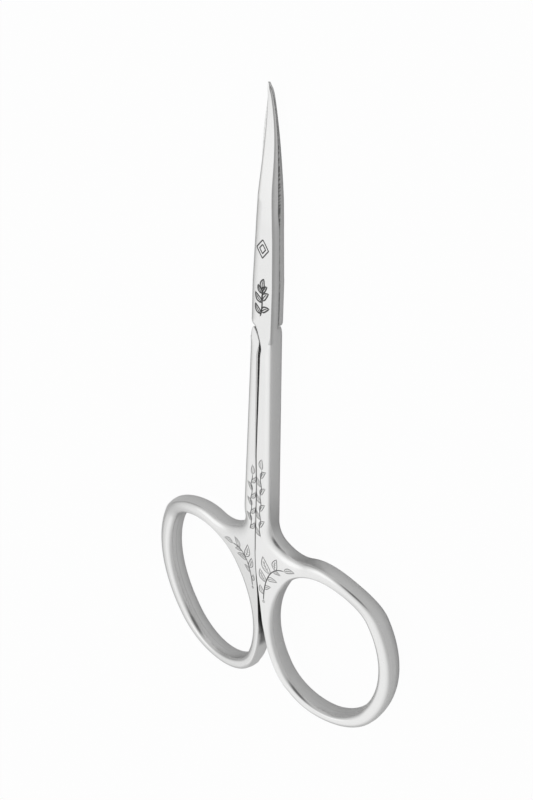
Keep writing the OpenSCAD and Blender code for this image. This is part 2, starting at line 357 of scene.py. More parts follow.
# Where the bow's side and rims swell, as distances to the right of the middle line
ARM_START, ARM_REACH = 2 * MM, 3 * MM
ARM_END, ARM_FADE, ARM_LOSS = 11 * MM, 8 * MM, 0.7
ARM_RIM, ARM_RIM_START, ARM_RIM_REACH = 0.22 * MM, 8 * MM, 6 * MM
ROOT_HEADING, ROOT_SPREAD = 1.0, 0.4  # radians: the inward normal where the low swell is highest
SEAM_X = 4 * MM  # walls that face the seam lie within this of the middle line
FACING, FACING_REACH = 0.45, 0.5  # how far a wall's normal must point across for the seam's rules
SEAM_L, SHADE_ABOVE, SHADE_REACH = 21 * MM, 6 * MM, 12 * MM  # the seam's stretch of painted shade below the bend
FORK_RIM_W, FORK_RIM_H = 0.1 * MM, 0.35 * MM  # added to the rims at the fork
CROTCH_LEAD, UNDER_LEAD = 24, 10  # points over which a rim runs on past its stretch
RIM_EASE, RIDGE_EASE, ARM_EASE, SHADE_EASE, FORK_EASE = 5, 10, 12, 3, 2  # widths of the blurs, in points
ROUND_SHARE, BLADE_SHARE, THIN_SHARE = 0.8, 0.21, 0.4  # most of a radius, a width and a thickness
HOLE_OUT, HOLE_IN, HOLE_RIM, HOLE_RIDGE = 1.15, 0.25, 0.85, 0.3  # shares of the hole's swell and ridge
HOLE_START, HOLE_REACH = 4 * MM, 14 * MM  # the hole's outer side
WEB_START, WEB_REACH, WEB_RIM = 3 * MM, 6 * MM, 0.46 * MM  # the hole's side along the web


class HalfOutline:
    """The outline of a half with its bow on the +X side, drawn flat and anticlockwise from the tip."""

    def __init__(self):
        self.oval = Oval()
        parts = self.stretches()
        dense = [resample(path)[:-1] for _, path, *_ in parts]
        counts = [len(d) for d in dense]
        starts = np.concatenate([[0], np.cumsum(counts)])
        self.start = {name: starts[i] for i, (name, *_) in enumerate(parts)}
        self.points = blur(np.concatenate(dense), CORNER / STEP)
        self.normals = inward(self.points)
        self.shape_rims([np.repeat([p[k] for p in parts], counts) for k in range(2, 7)])
        self.fit_rounding()
        self.make_hole()
        self.full = np.zeros(len(self.points), bool)
        self.full[self.start["inner"]:self.start["edge"] + 1] = True

    def stretches(self):
        """Each stretch's name and path, width and height of its front rim, the same of its back rim, and
        whether it bears the parting ridge."""
        s, oval = sizes(), self.oval
        ys = np.linspace(s.tip_r, TAPER_START, 60)
        turn_x = s.heel_x - HEEL_TURN
        xs = np.linspace(turn_x, HEEL_END_X, 24)
        spine = np.concatenate([
            np.stack([-spine_x(ys), ys], 1),
            [[-s.spine_w - SPINE_STEP, s.edge_start], [-s.lap_w, 0], [-s.lap_w, -s.heel_y + HEEL_CORNER]]])
        round_heel = bezier([
            spine[-1], [-s.lap_w, -s.heel_y + HEEL_PULL_Y], [-s.heel_x - HEEL_PULL_X, -s.heel_y],
            [-turn_x, heel_curve(turn_x)]])
        spine = np.concatenate([spine, round_heel[1:]])
        fork = [s.fork_gap / 2, -s.fork_y - FORK_DROP]
        heel = np.concatenate([np.stack([-xs, heel_curve(xs)], 1), [fork]])
        down = np.linspace(-s.bend_reach, s.bow_drop - ROOT_END, 60)
        cant = s.bow_cant * ramp(down, -s.bend_reach, 2 * s.bend_reach)
        root = np.stack([s.bow_gap / 2 + s.stock_t / 2 * np.tan(cant), -s.bend_y - down], 1)
        first = np.pi + s.bow_lean
        last = 2 * np.pi + oval.touch_angle + s.bow_lean
        ring = oval.rim(np.linspace(first, last, 420), s.band_w / 2)
        root = root[root[:, 1] > ring[0, 1] + ROOT_CLEAR]
        inner = np.concatenate([[fork, [s.bow_gap / 2, -s.close_y]], root, ring[:1]])
        turn = np.linspace(oval.touch_angle - np.pi, -np.pi, 60)
        fillet = oval.crotch + s.crotch_r * arc(turn)
        outer = [fillet[-1], [s.shank_top_w, -s.heel_y - SHOULDER_L]]
        edge = np.concatenate([
            [outer[-1], [s.lap_w, 0], [s.edge_w, s.edge_start + EDGE_FULL]],
            np.stack([edge_x(ys), ys], 1)[::-1]])
        fine, soft, under = [(r, r) for r in (s.fine_round, s.back_round, s.under_round)]
        small = (1.6 * s.fine_round, 1.4 * s.fine_round)
        spine_under = (0.6 * s.spine_round_w, 0.8 * s.spine_round_h)
        return [
            ("spine", spine, s.spine_round_w, s.spine_round_h, *spine_under, 0),
            ("heel", heel, *small, *small, 0),
            ("inner", inner, *small, *small, 0),
            ("ring", ring, s.bow_round_w, s.bow_round_h, *soft, 1),
            ("fillet", fillet, s.crotch_round_w, s.crotch_round_h, *under, 0),
            ("outer", outer, s.shank_round_w, s.shank_round_h, *under, 0),
            ("edge", edge, *fine, *fine, 0),
            ("tip", [edge[-1], spine[0]], *fine, *fine, 0)]

    def shape_rims(self, spread):
        """Eases the rims and the ridge from one stretch to the next, swells the bow's outer side beside the
        crotch and low beside the seam, and fits the rims to that, to the seam and to the fork."""
        s = sizes()
        crotch = slice(self.start["fillet"] - CROTCH_LEAD, self.start["outer"])
        rise = smoothstep(np.linspace(0, 1.4, crotch.stop - crotch.start))
        bow_and_crotch = (s.bow_round_w, s.crotch_round_w), (s.bow_round_h, s.crotch_round_h)
        for values, (bow, corner) in zip(spread, bow_and_crotch):
            values[crotch] = bow + (corner - bow) * rise
        for values in spread[2:4]:
            values[self.start["edge"]:self.start["edge"] + UNDER_LEAD] = s.under_round
        *rims, ridge = [blur(values.astype(float), RIM_EASE) for values in spread]
        self.rims = np.array(rims)  # width and height of the front rim, then of the back rim
        self.ridge = s.ridge * smoothstep(blur(ridge, RIDGE_EASE))
        x, y = self.points.T
        across = self.normals[:, 0]
        arm = blur((ridge > 0) | (x > s.shank_low_w) & (y < 0), ARM_EASE)
        arm = arm * ramp(x, ARM_START, ARM_REACH)
        self.bulge = s.bow_bulge * arm
        upper = s.arm_swell * arm * np.clip(-self.normals[:, 1], 0, 1)
        upper = upper * (1 - ARM_LOSS * ramp(x, ARM_END, ARM_FADE))
        heading = np.arctan2(self.normals[:, 1], across)
        lower = s.heel_swell * np.exp(-((heading - ROOT_HEADING) / ROOT_SPREAD) ** 2) * (y < -s.bend_y)
        self.points = self.points - self.normals * (upper + lower)[:, None]
        self.rims[0] += 0.6 * upper
        self.rims[0] += ARM_RIM * arm * ramp(x, ARM_RIM_START, ARM_RIM_REACH)
        self.rims[:2] *= 1 - 0.6 * ramp(across, FACING, FACING_REACH) * ((x < SEAM_X) & (y < -s.bend_y))
        # Painted shade on the walls that face the seam between the bows, where they lie in a narrow gap.
        seam = (across > 0.5) & (x < SEAM_X + 0.5 * MM) & (y < -s.heel_y) & (y > -s.bend_y - SEAM_L)
        self.seam_painted_shade = blur(seam * smoothstep((-y - s.bend_y + SHADE_ABOVE) / SHADE_REACH), SHADE_EASE)
        fork = np.zeros(len(x))
        fork[self.start["inner"]:self.start["ring"]] = 1
        fork = blur(fork * ramp(y, -s.close_y, s.close_y - s.fork_y), FORK_EASE)
        self.rims[:2] += np.array([[FORK_RIM_W], [FORK_RIM_H]]) * fork

    def fit_rounding(self):
        """Keeps each rounding under four fifths of the outline's own radius and of the blade's half width."""
        s = sizes()
        heading = np.unwrap(np.arctan2(self.normals[:, 1], self.normals[:, 0]))
        gap = np.hypot(*(np.roll(self.points, -1, 0) - self.points).T)
        bend = np.maximum(np.gradient(heading) / gap, 1)
        x, y = self.points.T
        radius = ROUND_SHARE / bend
        narrow = np.where(y > TAPER_START, BLADE_SHARE * (edge_x(y) + spine_x(y)), 1)
        limit = np.minimum(radius, narrow)
        for shift in (-2, -1, 1, 2):
            limit = np.minimum(limit, np.roll(radius, shift))
        blade_t = np.abs(outer_height(x, y, -1) - mating_height(x, y, -1))
        thin = np.where(y > -s.heel_y - 0.5 * MM, THIN_SHARE * blade_t, 1)
        limits = [limit, np.minimum(1.5 * limit, thin)] * 2
        self.rims = np.array([blur(np.minimum(rim, most), 1.5) for rim, most in zip(self.rims, limits)])

    def make_hole(self):
        """The finger hole's edge, its normals into the steel and its front rim. It swells in on the outer
        side, where its normals point outward."""
        s = sizes()
        steps = int(2 * np.pi * self.oval.b / STEP / 1.25)
        edge = self.oval.rim(np.linspace(0, -2 * np.pi, steps, endpoint=False), -s.band_w / 2)
        self.hole_normals = inward(edge)
        self.outside = ramp(edge[:, 0], HOLE_START, HOLE_REACH)
        facing = np.clip(1.3 * self.hole_normals[:, 0] - 0.1, 0, 1)
        swell = s.hole_swell * (HOLE_OUT * self.outside * facing - HOLE_IN * (1 - self.outside))
        self.hole = edge - self.hole_normals * swell[:, None]
        web = 1 - ramp(self.hole[:, 0], WEB_START, WEB_REACH)
        width = s.hole_round_w + HOLE_RIM * np.maximum(swell, 0) + WEB_RIM * web
        self.hole_rims = np.stack([width, np.full(steps, s.hole_round_h)])
        self.hole_ridge = np.full(steps, HOLE_RIDGE * s.ridge)

    def face_drop(self, x, y):
        """Depth of the front face's rounded rims below the flat, from the nearest point of the outline and
        of the finger hole."""
        spots, depth = np.stack([x, y], 1), 0
        for loop, width, height, ridge in (
                (self.points, *self.rims[:2], self.ridge), (self.hole, *self.hole_rims, self.hole_ridge)):
            square = ((spots[:, None] - loop[None]) ** 2).sum(-1)
            near = square.argmin(1)
            away = np.sqrt(square.min(1)) - ridge[near]
            share = np.clip(1 - away / width[near], 0, 1)
            depth = np.maximum(depth, height[near] * (1 - np.sqrt(1 - share ** 2)))
        return depth

    def shoulder(self):
        """The edge that the other half's heel closes on, from the outer edge to the fork."""
        s = sizes()
        xs = np.linspace(s.heel_x - HEEL_TURN, s.fork_gap / 2 - s.heel_gap, 24)
        curve = np.stack([xs + s.heel_gap, heel_curve(xs) - s.heel_gap], 1)
        start, end = self.points[self.start["edge"]], self.points[self.start["inner"]]
        corner = bezier([start, start + SHOULDER_PULLS[0], curve[0] + SHOULDER_PULLS[1], curve[0]])
        soft = blur(resample(np.concatenate([corner, curve[1:], [end]])), 0.7, closed=False)
        return soft[1:-1]


def rim_profile(steps=7):
    """A quarter of an ellipse as offsets inward and drops from the face, as shares of its width and height.
    A first row lies a little further in on the flat face, so that the shading stays flat there."""
    phi = np.linspace(0, np.pi / 2, steps + 1)
    return np.concatenate([[1.12], 1 - np.sin(phi)]), np.concatenate([[0], 1 - np.cos(phi)])


def offset_rows(points, normals, offsets):
    """Each point of an outline moved inward by each of its row of offsets: an array of n by k by 2."""
    return points[:, None, :] + normals[:, None, :] * offsets[:, :, None]


def wall_rows(points, normals, offsets, z):
    """The same with the heights z: an array of n by k by 3."""
    return np.concatenate([offset_rows(points, normals, offsets), z[:, :, None]], 2)


def ridge_offset(height, ridge, bulge):
    """Inward offset of a wall that swells out to a ridge half way up: nearly straight above the ridge
    and more rounded below it."""
    half = sizes().stock_t / 2
    away = np.clip(np.abs(height - half) / half, 0, 1)
    return -bulge[:, None] + (ridge + bulge)[:, None] * away ** np.where(height > half, 0.9, 4)


# Along the seam between the bows, as distances below the bend
DRIFT_START, DRIFT_REACH = 3 * MM, 12 * MM
APART_START, APART_REACH, APART_DRIFT = 7 * MM, 13 * MM, 0.45
SHIFT_BELOW, SHIFT_FADE, SHIFT_REACH = 2 * MM, 8 * MM, 2.4 * MM  # how the shift of the gap comes and goes


def seam_offset(height, points, normals, side):
    """Inward offset along the seam between the halves. It cancels the cant, so that the two walls stay
    parallel, shifts the gap between the shanks to the left, and leans the seam between the bows to the
    right by a smooth step on the way down."""
    s = sizes()
    y = points[:, 1]
    down = -(y + s.bend_y)
    cant = s.bow_cant * ramp(down, -s.bend_reach, 2 * s.bend_reach)
    facing = ramp(normals[:, 0], FACING, FACING_REACH) * (points[:, 0] < SEAM_X)
    drift = s.seam_drift * ramp(down, DRIFT_START, DRIFT_REACH)
    apart = ramp(down, APART_START, APART_REACH) * (side < 0)
    upright = height / np.cos(s.bow_cant) * np.tan(cant)[:, None] * (1 - apart)[:, None]
    shift = smoothstep((y + s.close_y + SHIFT_BELOW) / SHIFT_FADE) * ramp(-y, s.fork_y, SHIFT_REACH)
    upright += side * s.fork_shift * shift[:, None]
    return facing[:, None] * (drift[:, None] * (1 if side > 0 else APART_DRIFT * apart[:, None]) - upright)


class Shell:
    """Gathers strips and caps of points drawn flat, and welds them into one closed mesh."""

    def __init__(self):
        self.points, self.faces, self.shades, self.count = [], [], [], 0

    def strip(self, rows, closed=True, shade=None):
        """Four-cornered faces between neighbouring rows, each a line of points."""
        n, k = rows.shape[:2]
        index = np.arange(n * k).reshape(n, k) + self.count
        nxt = np.roll(index, -1, 0) if closed else index[1:]
        cur = index if closed else index[:-1]
        quads = np.stack([cur[:, :-1], nxt[:, :-1], nxt[:, 1:], cur[:, 1:]], -1).reshape(-1, 4)
        self.add(rows.reshape(-1, 3), quads, shade)

    def add(self, points, faces, shade=None):
        """Takes points, the faces between them and how far painted shade darkens each, from 0 to 1."""
        self.points.append(points)
        self.faces += faces.tolist()
        self.shades.append(np.zeros(len(points)) if shade is None else shade.ravel())
        self.count += len(points)

    def cap(self, loops, height, spacing=0.45 * MM):
        """Fills the area inside the first loop and outside the others, at the height of each point."""
        points, triangles = fill(loops, spacing)
        self.add(np.column_stack([points, height(points[:, 0], points[:, 1])]), triangles + self.count)


def inside(points, loop):
    """Whether each point lies inside a closed loop, by counting the edges crossed to its right."""
    a, b = loop, np.roll(loop, -1, 0)
    x, y = points[:, :1], points[:, 1:]
    spans = (a[:, 1] > y) != (b[:, 1] > y)
    rise = np.where(np.abs(b[:, 1] - a[:, 1]) < 1e-12, 1e-12, b[:, 1] - a[:, 1])
    cross = a[:, 0] + (y - a[:, 1]) / rise * (b[:, 0] - a[:, 0])
    return (spans & (x < cross)).sum(1) % 2 == 1


def fill(loops, spacing):
    """Triangles between loops, with an even grid of points inside that keeps clear of the loops."""
    border = np.concatenate(loops)
    low, high = loops[0].min(0), loops[0].max(0)
    gx, gy = np.meshgrid(*[np.arange(a + spacing / 2, b, spacing) for a, b in zip(low, high)])
    gx[::2] += spacing / 2
    grid = np.stack([gx.ravel(), gy.ravel()], 1)
    grid = grid[inside(grid, loops[0])]
    for hole in loops[1:]:
        grid = grid[~inside(grid, hole)]
    near = np.min(((grid[:, None, :] - border[None]) ** 2).sum(-1), 1) if len(grid) else np.zeros(0)
    grid = grid[near > (0.6 * spacing) ** 2]
    points = np.concatenate([border, grid])
    edges, start = [], 0
    for loop in loops:
        ring = np.arange(len(loop)) + start
        edges.append(np.stack([ring, np.roll(ring, -1)], 1))
        start += len(loop)
    corners = [tuple(p) for p in (points / MM).tolist()]
    _, _, faces, origin, _, _ = delaunay_2d_cdt(corners, np.concatenate(edges).tolist(), [], 1, 1e-6)
    back = np.array([o[0] if o else -1 for o in origin])
    triangles = back[np.array(faces)]
    triangles = triangles[(triangles >= 0).all(1)]
    middle = points[triangles].mean(1)
    keep = inside(middle, loops[0])
    for hole in loops[1:]:
        keep &= ~inside(middle, hole)
    return points, triangles[keep]


def arc(a):
    """Points on a circle of radius 1 at the angles a."""
    return np.stack([np.cos(a), np.sin(a)], 1)


def circle(radius, steps=48):
    """A closed round loop about the pivot."""
    return radius * arc(np.linspace(0, 2 * np.pi, steps, endpoint=False))


BEND_TRACK, BEND_STEPS = 50 * MM, 1200  # length below the bend that the arc is worked out for


def bent(points):
    """Bends a flat half at the foot of its shank and cants its bow. Below the bend the middle plane
    follows an arc whose angle grows by a smooth step, and the section turns by the cant as it goes."""
    s = sizes()
    x, y, z = points.T
    reach = s.bend_reach
    down = -(y + s.bend_y)
    run = np.linspace(-reach, BEND_TRACK, BEND_STEPS)
    theta = s.bow_bend * ramp(run, -reach, 2 * reach)
    middle = (theta[1:] + theta[:-1]) / 2
    step = run[1] - run[0]
    fall, travel = [np.concatenate([[0], np.cumsum(f(middle)) * step]) for f in (np.sin, np.cos)]
    turned = ramp(down, -reach, 2 * reach)
    bend, cant = s.bow_bend * turned, s.bow_cant * turned
    height = z - s.stock_t / 2
    new_x = x * np.cos(cant) + height * np.sin(cant)
    new_h = -x * np.sin(cant) + height * np.cos(cant)
    line_y = np.where(down < -reach, y, -s.bend_y + reach - np.interp(down, run, travel))
    line_z = s.stock_t / 2 - np.interp(down, run, fall, left=0) + s.shank_low_w / 2 * np.sin(cant)
    return np.stack([new_x, line_y - new_h * np.sin(bend), line_z + new_h * np.cos(bend)], 1)


def laid(points):
    """Moves points from the frame about the pivot axis to the frame in which the pair lies on z = 0."""
    up = -unit(PIVOT["axis"])
    ahead = np.cross(up, [1.0, 0, 0])
    origin = np.array(PIVOT["pos_m"], float) - up * sizes().back_lap_t
    return points @ np.array([[1.0, 0, 0], ahead, up]) + origin


def laid_direction(x, y, z):
    """A direction in the frame about the pivot axis, turned to the other frame."""
    return laid(np.array([[x, y, z]], float))[0] - laid(np.zeros((1, 3)))[0]


def link(name, data):
    """A new object in the scene."""
    piece = bpy.data.objects.new(name, data)
    bpy.context.scene.collection.objects.link(piece)
    return piece


def soften(mesh, sharp_from):
    """Smooth shading, but for edges that turn by more than sharp_from degrees."""
    mesh.shade_smooth()
    mesh.set_sharp_from_angle(angle=np.radians(sharp_from))


WELD = 2e-7  # metres
CREASE, SCREW_CREASE = 22, 32  # degrees


def new_mesh(name, points, faces, shades=None):
    """A welded mesh object with its faces turned outward, smooth but for its sharp edges."""
    mesh = bpy.data.meshes.new(name)
    mesh.from_pydata(points.tolist(), [], faces)
    if shades is not None:
        # Painted shade for each point, from 0 to 1, which the steel's material darkens its tone by.
        layer = mesh.attributes.new("honed", "FLOAT", "POINT")
        layer.data.foreach_set("value", shades)
    bm = bmesh.new()
    bm.from_mesh(mesh)
    bmesh.ops.remove_doubles(bm, verts=bm.verts, dist=WELD)
    bmesh.ops.dissolve_degenerate(bm, edges=bm.edges, dist=WELD)
    bmesh.ops.delete(bm, geom=[v for v in bm.verts if not v.link_faces], context="VERTS")
    bmesh.ops.recalc_face_normals(bm, faces=bm.faces)
    open_edges = sum(not e.is_manifold for e in bm.edges)
    if bm.calc_volume(signed=True) < 0:
        bmesh.ops.reverse_faces(bm, faces=bm.faces)
    bm.to_mesh(mesh)
    bm.free()
    soften(mesh, CREASE)
    print(name, len(mesh.vertices), "points,", len(mesh.polygons), "faces,", open_edges, "open edges")
    return link(name, mesh)


# The honed and ground edge of a blade
HONE_REACH = 4 * MM  # length over which the honed bevel grows
HONE_BASE, HONE_GROWN, HONE_TIP = 0.25, 0.75, 0.7  # its width beside the lap, what it grows by, its taper
HONE_LOW, HONE_HIGH, HONE_LAST = 0.35, 0.65, 0.6  # the same for its height
CREST_SHARE, CREST_BAND = 0.75, 0.07  # where the walls' ridge lies, and half the band of rows about it
FACET_EASE = 14  # points
FACET_DELAY, FACET_REACH = 1 * MM, 7 * MM  # the ground facet begins after the edge does, and grows
FACET_SHARE, FACET_CLEAR = 0.46, 0.09 * MM  # most of the blade's width that it takes
PAINTED_SHADE, RIDGE_PAINTED_SHADE, BACK_PAINTED_SHADE, HOLE_PAINTED_SHADE = 2.5, 0.4, 0.2, 0.35  # how far painted shade darkens each place
SHOULDER_FADE = 2.4 * MM  # length over which the shank's back rim runs out along the shoulder
HOLE_LEVELS = (0.62, 0.53, 0.5, 0.47, 0.38)  # heights of the hole wall's rows, as shares of the stock


class HalfShell(Shell):
    """A half drawn flat, with its bow on the +X side. Its outer face is the front for side 1 and the back
    for side -1. The walls are the outline carried down from the outer face through a rounded rim to the
    mating face, and on the shank and bow on to the far face. Caps close the three faces."""

    def __init__(self, side):
        super().__init__()
        self.side, self.outline = side, HalfOutline()
        self.inset, self.drop = rim_profile()
        self.outer_rim, self.far_rim = [self.outline.rims[:2], self.outline.rims[2:]][::side]
        self.high, self.low = [sizes().stock_t, 0.0][::side]
        upper = self.upper_walls()
        lower = self.lower_walls(upper)
        hole = self.hole_wall()
        bore = self.bore_wall()
        first, last = self.outline.start["inner"], self.outline.start["edge"]
        self.cap([upper[:, 0, :2], hole[:, 0, :2]] + ([] if side > 0 else [bore]), self.outer)
        self.cap([lower[:, -1, :2], hole[:, -1, :2]], lambda x, y: np.full(x.shape, self.low))
        shoulder = lower[last + 1 - first:, 0, :2]
        lap = np.concatenate([upper[last:, -1, :2], upper[:first + 1, -1, :2], shoulder[::-1]])
        self.cap([lap, bore], self.mating)

    def outer(self, x, y):
        """Height of this half's outer face."""
        return outer_height(x, y, self.side)

    def mating(self, x, y):
        """Height of this half's mating face."""
        return mating_height(x, y, self.side)

    def swell(self, path, away, z, ridge, bulge):
        """Inward offset of a wall by its ridge and along the seam."""
        return ridge_offset(z, ridge, bulge) + seam_offset(z, path, away, self.side)

    def upper_walls(self):
        """From the outer face through its rim, the wall and the honed edge down to the mating face."""
        s, outline, side = sizes(), self.outline, self.side
        points, normals, full = outline.points, outline.normals, outline.full
        rim = self.outer_rim[0][:, None] * self.inset
        rim_h = side * self.outer_rim[1][:, None]
        y = points[:, 1]
        taper = along(y, TAPER_START) ** 2
        # The cutting edge's stretch: it is honed, and a painted dark line runs along its rim.
        honed = np.arange(len(y)) >= outline.start["edge"]
        grown = honed * ramp(y, s.edge_start, HONE_REACH)
        width = HONE_BASE * honed * (y > -s.heel_y) + HONE_GROWN * grown
        honing = s.edge_bevel * width * (1 - HONE_TIP * taper)
        bottom = self.mating(*points.T)[:, None]
        rise = self.outer(*points.T)[:, None] - rim_h - bottom
        tall = np.abs(rise)[:, 0]
        crest = ((s.stock_t / 2 - bottom) / rise)[:, 0] if side > 0 else 0.35
        honed_h = s.hone_h * (HONE_LOW + HONE_HIGH * grown * (1 - HONE_LAST * taper))
        level = np.where(full, crest, np.clip(honed_h / tall, 0.05, 0.5))
        above, below = level + CREST_BAND * full, level - CREST_BAND * full - 0.01
        wall = np.stack([0.5 + 0.5 * level, above, level, below, 0 * level], 1)
        facet = s.facet_w * honed * smoothstep((y - s.edge_start - FACET_DELAY) / FACET_REACH)
        facet = np.minimum(facet, FACET_SHARE * (edge_x(y) + spine_x(y)) - FACET_CLEAR)
        facet = blur(np.minimum(facet, 0.85 * (1 - level) * tall), FACET_EASE)[:, None] * honed[:, None]
        slope = facet * np.clip((wall - level[:, None]) / (1 - level[:, None]), 0, 1)
        offsets = np.concatenate([rim + facet, slope], 1)
        offsets[:, -2] += honing * 0.15
        offsets[:, -1] += honing
        steps = len(self.inset)
        xy = offset_rows(points, normals, offsets)
        rim_z = self.outer(xy[:, :steps, 0], xy[:, :steps, 1]) - rim_h * self.drop
        z = np.concatenate([rim_z, bottom + wall * rise], 1)
        z[:, -1] = self.mating(xy[:, -1, 0], xy[:, -1, 1])
        offsets = offsets + self.swell(points, normals, z, outline.ridge, outline.bulge)
        rows = wall_rows(points, normals, offsets, z)
        shade = np.zeros(z.shape)
        # Painted shade: the two bevel rows under the cutting edge are darkened for the shadow in the gap
        # between the blades. It is fainter on the back half.
        darkened = 1 if side > 0 else BACK_PAINTED_SHADE
        shade[:, -2:] = np.clip(PAINTED_SHADE * honing / s.edge_bevel, 0, 1)[:, None] * darkened
        # Painted shade on the walls beside the seam between the bows.
        shade[:, steps:] = np.maximum(shade[:, steps:], outline.seam_painted_shade[:, None])
        # Painted shade: a thin dark line along the rim of the front half's cutting edge.
        shade[:, 2:steps] = RIDGE_PAINTED_SHADE * (honed * (side > 0))[:, None]
        self.strip(rows, shade=shade)
        return rows

    def lower_walls(self, upper):
        """From the mating face's level to the far face, round the shank, the bow and the shoulder."""
        s, outline, side = sizes(), self.outline, self.side
        own = slice(outline.start["inner"], outline.start["edge"] + 1)
        common = own.stop - own.start
        shoulder = outline.shoulder()
        loop = np.concatenate([outline.points[own], shoulder])
        away = inward(loop)
        away[:common] = outline.normals[own]
        width, height = self.far_rim
        fade = 1 - smoothstep(np.hypot(*(shoulder - outline.points[own][-1]).T) / SHOULDER_FADE)
        small = 0.6 * s.fine_round
        pad_r = small + (width[own][-1] - small) * fade
        width = np.concatenate([width[own], pad_r])[:, None]
        height = side * np.concatenate([height[own], pad_r])[:, None]
        ridge, bulge = [np.concatenate([v[own], 0 * pad_r]) for v in (outline.ridge, outline.bulge)]
        start_z = self.mating(*loop.T)[:, None]
        end_z = self.low + height
        crest = CREST_SHARE + 0 * end_z if side > 0 else (end_z - s.stock_t / 2) / (end_z - start_z)
        wall = np.concatenate([1 + 0 * crest, 0.5 + 0.5 * crest, crest, crest - 0.06, 0.45 * crest], 1)
        z = np.concatenate([end_z + wall * (start_z - end_z), self.low + height * self.drop[::-1]], 1)
        offsets = np.concatenate([np.zeros_like(wall), width * self.inset[::-1]], 1)
        rows = wall_rows(loop, away, offsets + self.swell(loop, away, z, ridge, bulge), z)
        rows[:common, 0] = upper[own, -1]
        shade = np.zeros(z.shape)
        # Painted shade on the lower walls beside the seam between the bows.
        shade[:common, :5] = outline.seam_painted_shade[own, None]
        self.strip(rows, shade=shade)
        return rows

    def hole_wall(self):
        """The finger hole's wall, with the same rims and ridge."""
        s, outline, side = sizes(), self.outline, self.side
        back_r = s.back_round * (2.4 - 1.4 * outline.outside)
        (high_w, high_h), (low_w, low_h) = [outline.hole_rims, (back_r, back_r)][::side]
        middle = np.array(HOLE_LEVELS) * s.stock_t
        middle = np.tile(middle if side > 0 else s.stock_t - middle, (len(back_r), 1))
        z = np.concatenate([
            self.high - side * high_h[:, None] * self.drop, middle,
            self.low + side * low_h[:, None] * self.drop[::-1]], 1)
        offsets = np.concatenate([
            high_w[:, None] * self.inset, np.zeros_like(middle), low_w[:, None] * self.inset[::-1]], 1)
        offsets = offsets + ridge_offset(z, outline.hole_ridge, s.hole_bulge * outline.outside)
        rows = wall_rows(outline.hole, outline.hole_normals, offsets, z)
        shade = np.zeros(z.shape)
        # Painted shade: a thin dark line along the hole wall's ridge, on the bow's outer side.
        shade[:, len(self.inset) + 2] = HOLE_PAINTED_SHADE * outline.outside
        self.strip(rows, shade=shade)
        return rows

    def bore_wall(self):
        """The screw's hole, through the back half and blind in the front one."""
        s, side = sizes(), self.side
        bore = circle(s.screw_d / 2 + (s.thread_play if side > 0 else s.pivot_play))
        end = s.stock_t - s.screw_skin if side > 0 else 0.0
        heights = (self.mating(0, 0), end)
        self.strip(np.stack([np.column_stack([bore, np.full(len(bore), z)]) for z in heights], 1))
        if side > 0:
            self.cap([bore], lambda x, y: np.full(x.shape, end))
        return bore


def build_half(name, side):
    """Bends a flat half, mirrors the back one in X and lays it in the row frame. The tips lean to the left
    by a smooth step over their last stretch."""
    shell = HalfShell(side)
    flat = np.concatenate(shell.points)
    points = bent(flat)
    points[:, 0] = side * points[:, 0] - TIP_LEAN * ramp(flat[:, 1], TIP_LEAN_START, TIP_LEAN_REACH)
    return new_mesh(name, laid(points), shell.faces, np.concatenate(shell.shades))


def revolved(profile, steps=96):
    """A closed surface of revolution about the pivot, from pairs of radius and height that start and end
    on the axis."""
    radius, height = np.array(profile).T
    a = np.linspace(0, 2 * np.pi, steps, endpoint=False)[:, None]
    shell = Shell()
    shell.strip(np.stack([radius * np.cos(a), radius * np.sin(a), height + 0 * a], 2))
    return shell


def box_shell(low, high):
    """The eight corners and six sides of a box."""
    (x0, y0, z0), (x1, y1, z1) = low, high
    corners = np.array([[x, y, z] for x in (x0, x1) for y in (y0, y1) for z in (z0, z1)])
    sides = [(0, 1, 3, 2), (4, 6, 7, 5), (0, 4, 5, 1), (2, 3, 7, 6), (0, 2, 6, 4), (1, 5, 7, 3)]
    return corners, sides


def apply_modifiers(piece):
    """Replaces a piece's mesh with the one that its modifiers make."""
    graph = bpy.context.evaluated_depsgraph_get()
    piece.data = bpy.data.meshes.new_from_object(piece.evaluated_get(graph))
    piece.modifiers.clear()


HEAD_BEVEL, HEAD_CROWN, NOSE_BEVEL = 0.36 * MM, 0.06 * MM, 0.12 * MM
FOOT_BEVEL_W, FOOT_BEVEL_H = 0.04 * MM, 0.05 * MM


def build_screw(name):
    """A turned screw: a low head on the back with a driver's slot across it, and a plain shank. Its profile
    is a parabola for the crown, a quarter circle for the head's corner, and straight runs."""
    s = sizes()
    head_r, shank_r, bevel = s.head_d / 2, s.screw_d / 2, HEAD_BEVEL
    back, seat = -s.head_t - s.head_play, -s.head_play
    end = seat + s.stock_t - s.screw_skin
    turn = np.linspace(0, np.pi / 2, 6)
    dome = [(r * (head_r - bevel), back + HEAD_CROWN * r * r) for r in np.linspace(0, 1, 7)]
    rim = back + HEAD_CROWN
    corner = [(head_r - bevel * (1 - np.sin(t)), rim + bevel * (1 - np.cos(t))) for t in turn[1:]]
    foot = [(head_r, seat - FOOT_BEVEL_H), (head_r - FOOT_BEVEL_W, seat), (shank_r, seat)]
    nose = [(shank_r, end - NOSE_BEVEL), (shank_r - NOSE_BEVEL, end), (0, end)]
    shell = revolved(dome + corner + foot + nose)
    piece = new_mesh(name, laid(np.concatenate(shell.points)), shell.faces)
    corners, sides = box_shell(
        (-head_r - MM, -s.slot_w / 2, back - MM), (head_r + MM, s.slot_w / 2, back + s.slot_depth))
    cutter = new_mesh("slot_cutter", laid(corners), sides)
    slot = piece.modifiers.new("slot", "BOOLEAN")
    slot.operation, slot.solver, slot.object = "DIFFERENCE", "EXACT", cutter
    apply_modifiers(piece)
    bpy.data.objects.remove(cutter)
    soften(piece.data, SCREW_CREASE)
    return piece


LINE_STEP, LINE_SINK, LINE_TAPER = 0.08 * MM, 0.02 * MM, 0.35 * MM
WAVE = 0.12  # mm that a vine's stem sways


